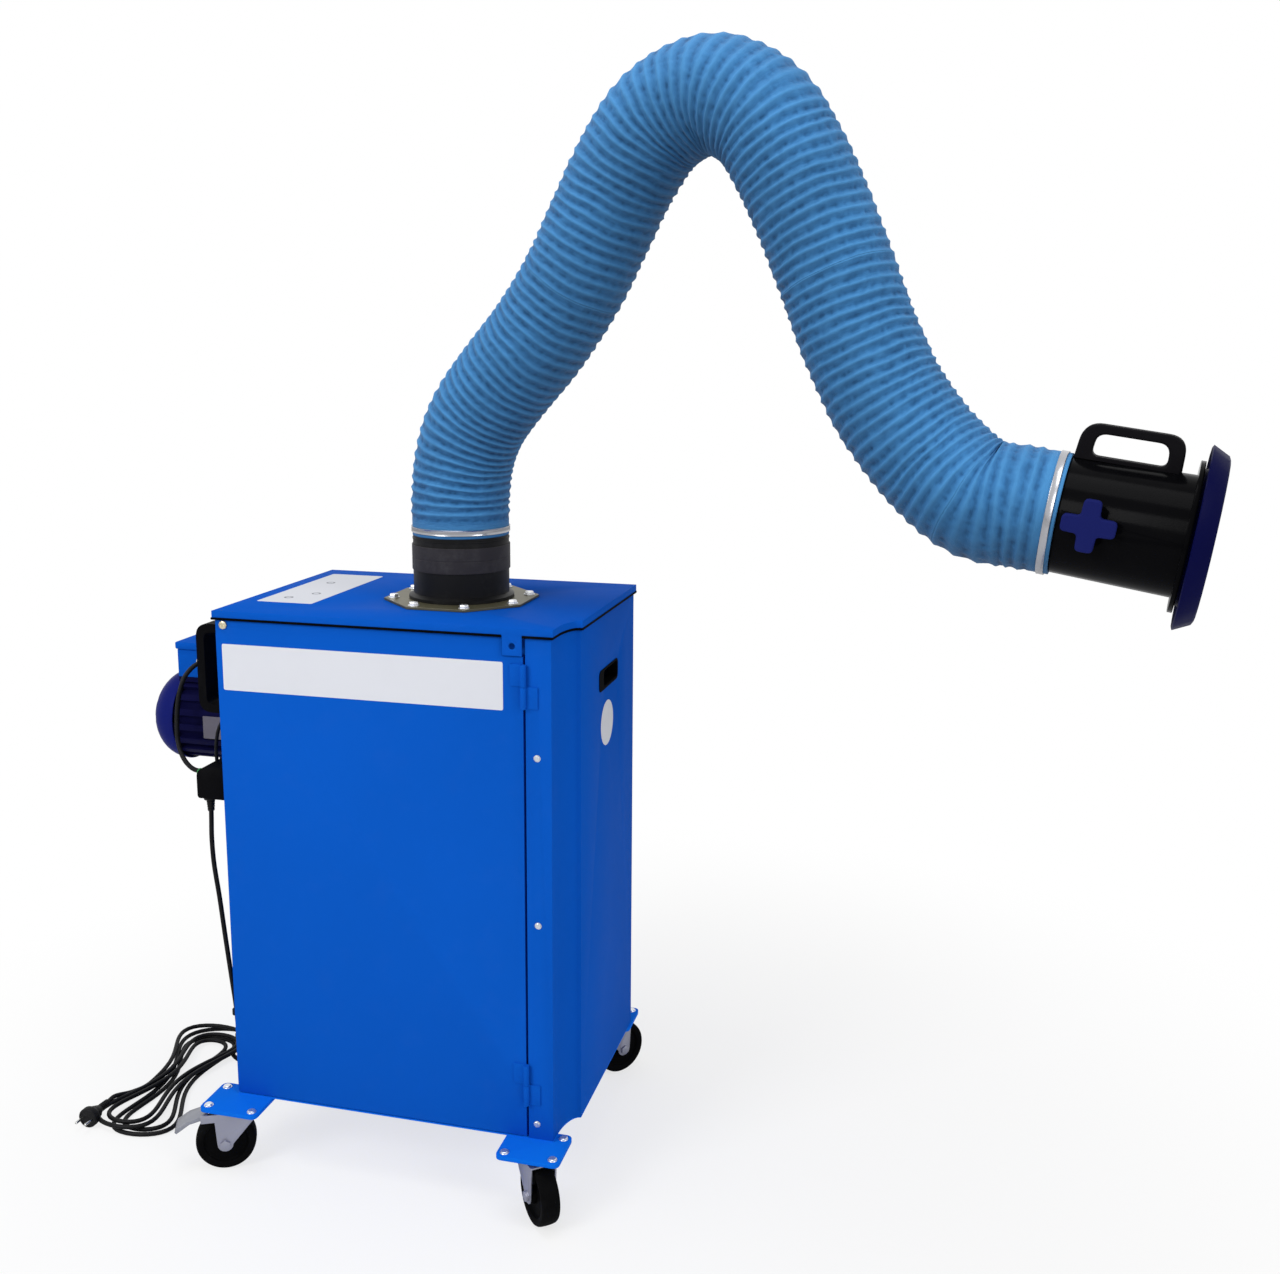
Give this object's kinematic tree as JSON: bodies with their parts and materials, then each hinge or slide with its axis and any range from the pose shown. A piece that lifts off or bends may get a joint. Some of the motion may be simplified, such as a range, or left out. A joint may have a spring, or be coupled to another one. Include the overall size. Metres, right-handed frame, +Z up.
{
  "type": "mobile welding fume extractor",
  "caption": "Filter cabinet on swivel castors with a side motor, a hinged door, a coiled mains lead and a self-supporting extraction arm with a round hood.",
  "frame": {"origin": "middle of the footprint on the floor, without the mains lead", "axes": "+Z up, the door looks along -Y, the motor points along -X and the arm reaches along +X"},
  "size_m": [1.8037, 0.719, 1.8081],
  "materials": {
    "cabinet_paint": "gloss blue powder coat",
    "base_paint": "bright blue powder coat",
    "zinc": "zinc plated",
    "bright_steel": "bright steel",
    "olive_zinc": "olive passivated zinc",
    "brass": "yellow passivated",
    "arm_aluminium": "mill finish",
    "motor_paint": "navy enamel",
    "black_plastic": "moulded",
    "grey_plastic": "satin",
    "pale_plastic": "moulded",
    "navy_plastic": "moulded",
    "green_plastic": "moulded",
    "red_plastic": "moulded",
    "black_rubber": "smooth",
    "wheel_rubber": "moulded",
    "hose_fabric": "coated hose fabric",
    "filter_paper": "pleated filter medium"
  },
  "bodies": {
    "cabinet": {"cabinet_shell": "cabinet_paint", "base_frame": "base_paint", "top_plate": "cabinet_paint", "fan_partition": "cabinet_paint", "filter_deck": "cabinet_paint", "filter_cartridge": "filter_paper", "filter_clamp": "bright_steel", "spark_baffle": "zinc", "fan_scroll": "zinc", "exhaust_grille": "cabinet_paint", "inlet_flange": "olive_zinc", "inlet_collar": "grey_plastic", "motor_body": "motor_paint", "fan_cowl": "navy_plastic", "terminal_box": "cabinet_paint", "terminal_lid": "cabinet_paint", "terminal_gland": "pale_plastic", "motor_flex": "black_rubber", "switch_box": "black_plastic", "control_lead": "black_rubber", "bow_handle": "black_plastic", "mains_gland": "black_rubber", "mains_lead": "black_rubber", "mains_lead_hank": "black_rubber", "mains_lead_tail": "black_rubber", "mains_plug": "black_plastic"},
    "start_button": {"start_button": "green_plastic"},
    "stop_button": {"stop_button": "red_plastic"},
    "fan_rotor": {"motor_shaft": "bright_steel", "impeller": "zinc", "cooling_fan": "black_plastic"},
    "door": {"door_panel": "cabinet_paint"},
    "door_lock": {"door_lock": "brass"},
    "castor_front_left": {"castor_fork_front_left": "zinc"},
    "wheel_front_left": {"castor_wheel_front_left": "wheel_rubber"},
    "castor_front_right": {"castor_fork_front_right": "zinc"},
    "wheel_front_right": {"castor_wheel_front_right": "wheel_rubber"},
    "castor_rear_left": {"castor_fork_rear_left": "zinc"},
    "wheel_rear_left": {"castor_wheel_rear_left": "wheel_rubber"},
    "castor_rear_right": {"castor_fork_rear_right": "zinc"},
    "wheel_rear_right": {"castor_wheel_rear_right": "wheel_rubber"},
    "pedal_front_left": {"brake_pedal_front_left": "zinc"},
    "pedal_rear_left": {"brake_pedal_rear_left": "zinc"},
    "arm_base": {"swivel_sleeve": "grey_plastic", "hose_clamp_lower": "bright_steel", "shoulder_bracket": "zinc", "hose_shoulder": "hose_fabric"},
    "arm_lower": {"lower_link": "arm_aluminium", "hose_elbow": "hose_fabric"},
    "arm_upper": {"upper_link": "arm_aluminium", "hose_tip": "hose_fabric"},
    "gimbal": {"gimbal_block": "zinc"},
    "hood": {"hood_tube": "black_plastic", "hood_bracket": "zinc", "hood_handle": "black_plastic", "hood_rim": "navy_plastic", "hose_clamp_upper": "bright_steel"},
    "damper": {"damper_flap": "zinc", "damper_knob": "navy_plastic"}
  },
  "joints": [
    {"name": "door_hinge", "type": "hinge", "parent": "cabinet", "child": "door", "pos_m": [-0.09435, -0.17232, 0.54], "axis": [0, 0, 1], "range_deg": [0, 110]},
    {"name": "door_lock_turn", "type": "hinge", "parent": "door", "child": "door_lock", "pos_m": [-0.60035, -0.16702, 0.937], "axis": [0, -1, 0], "range_deg": [0, 90]},
    {"name": "fan_spin", "type": "hinge", "parent": "cabinet", "child": "fan_rotor", "pos_m": [-0.61435, 0.04198, 0.724], "axis": [1, 0, 0], "continuous": true},
    {"name": "start_press", "type": "slide", "parent": "cabinet", "child": "start_button", "axis": [1, 0, 0], "range_m": [0, 0.004], "stiffness_N_per_m": 400},
    {"name": "stop_press", "type": "slide", "parent": "cabinet", "child": "stop_button", "axis": [1, 0, 0], "range_m": [0, 0.004], "stiffness_N_per_m": 400},
    {"name": "castor_swivel_front_left", "type": "hinge", "parent": "cabinet", "child": "castor_front_left", "pos_m": [-0.60435, -0.18302, 0], "axis": [0, 0, 1], "continuous": true},
    {"name": "wheel_roll_front_left", "type": "hinge", "parent": "castor_front_left", "child": "wheel_front_left", "pos_m": [-0.62592, -0.19354, 0.05], "axis": [0.4384, -0.8988, 0], "continuous": true},
    {"name": "castor_swivel_front_right", "type": "hinge", "parent": "cabinet", "child": "castor_front_right", "pos_m": [-0.07835, -0.18302, 0], "axis": [0, 0, 1], "continuous": true},
    {"name": "wheel_roll_front_right", "type": "hinge", "parent": "castor_front_right", "child": "wheel_front_right", "pos_m": [-0.06292, -0.20141, 0.05], "axis": [0.766, 0.6428, 0], "continuous": true},
    {"name": "castor_swivel_rear_left", "type": "hinge", "parent": "cabinet", "child": "castor_rear_left", "pos_m": [-0.60435, 0.26698, 0], "axis": [0, 0, 1], "continuous": true},
    {"name": "wheel_roll_rear_left", "type": "hinge", "parent": "castor_rear_left", "child": "wheel_rear_left", "pos_m": [-0.61977, 0.28536, 0.05], "axis": [-0.766, -0.6428, 0], "continuous": true},
    {"name": "castor_swivel_rear_right", "type": "hinge", "parent": "cabinet", "child": "castor_rear_right", "pos_m": [-0.07835, 0.26698, 0], "axis": [0, 0, 1], "continuous": true},
    {"name": "wheel_roll_rear_right", "type": "hinge", "parent": "castor_rear_right", "child": "wheel_rear_right", "pos_m": [-0.06292, 0.28536, 0.05], "axis": [-0.766, 0.6428, 0], "continuous": true},
    {"name": "brake_front_left", "type": "hinge", "parent": "castor_front_left", "child": "pedal_front_left", "pos_m": [-0.65558, -0.20801, 0.097], "axis": [0.4384, -0.8988, 0], "range_deg": [0, 12]},
    {"name": "brake_rear_left", "type": "hinge", "parent": "castor_rear_left", "child": "pedal_rear_left", "pos_m": [-0.64099, 0.31064, 0.097], "axis": [-0.766, -0.6428, 0], "range_deg": [0, 12]},
    {"name": "arm_turn", "type": "hinge", "parent": "cabinet", "child": "arm_base", "pos_m": [-0.27335, 0.04198, 0], "axis": [0, 0, 1], "continuous": true},
    {"name": "arm_shoulder", "type": "hinge", "parent": "arm_base", "child": "arm_lower", "pos_m": [-0.27335, 0.04198, 1.2], "axis": [-0.2756, -0.9613, 0], "range_deg": [-30, 35], "deforming": ["hose_shoulder"]},
    {"name": "arm_elbow", "type": "hinge", "parent": "arm_lower", "child": "arm_upper", "pos_m": [0.15362, -0.08045, 1.72672], "axis": [0.2756, 0.9613, 0], "range_deg": [-60, 30], "deforming": ["hose_elbow"]},
    {"name": "hood_tilt", "type": "hinge", "parent": "arm_upper", "child": "gimbal", "pos_m": [0.59584, -0.20726, 1.17416], "axis": [-0.2756, -0.9613, 0], "range_deg": [-45, 45], "deforming": ["hose_tip"]},
    {"name": "hood_swing", "type": "hinge", "parent": "gimbal", "child": "hood", "pos_m": [0.61869, -0.21381, 1.17082], "axis": [0.1338, -0.0384, 0.9903], "range_deg": [-53, 37], "deforming": ["hose_tip"]},
    {"name": "damper_turn", "type": "hinge", "parent": "hood", "child": "damper", "pos_m": [0.70064, -0.22529, 1.16335], "axis": [-0.1405, -0.9899, -0.0194], "range_deg": [0, 90]}
  ]
}
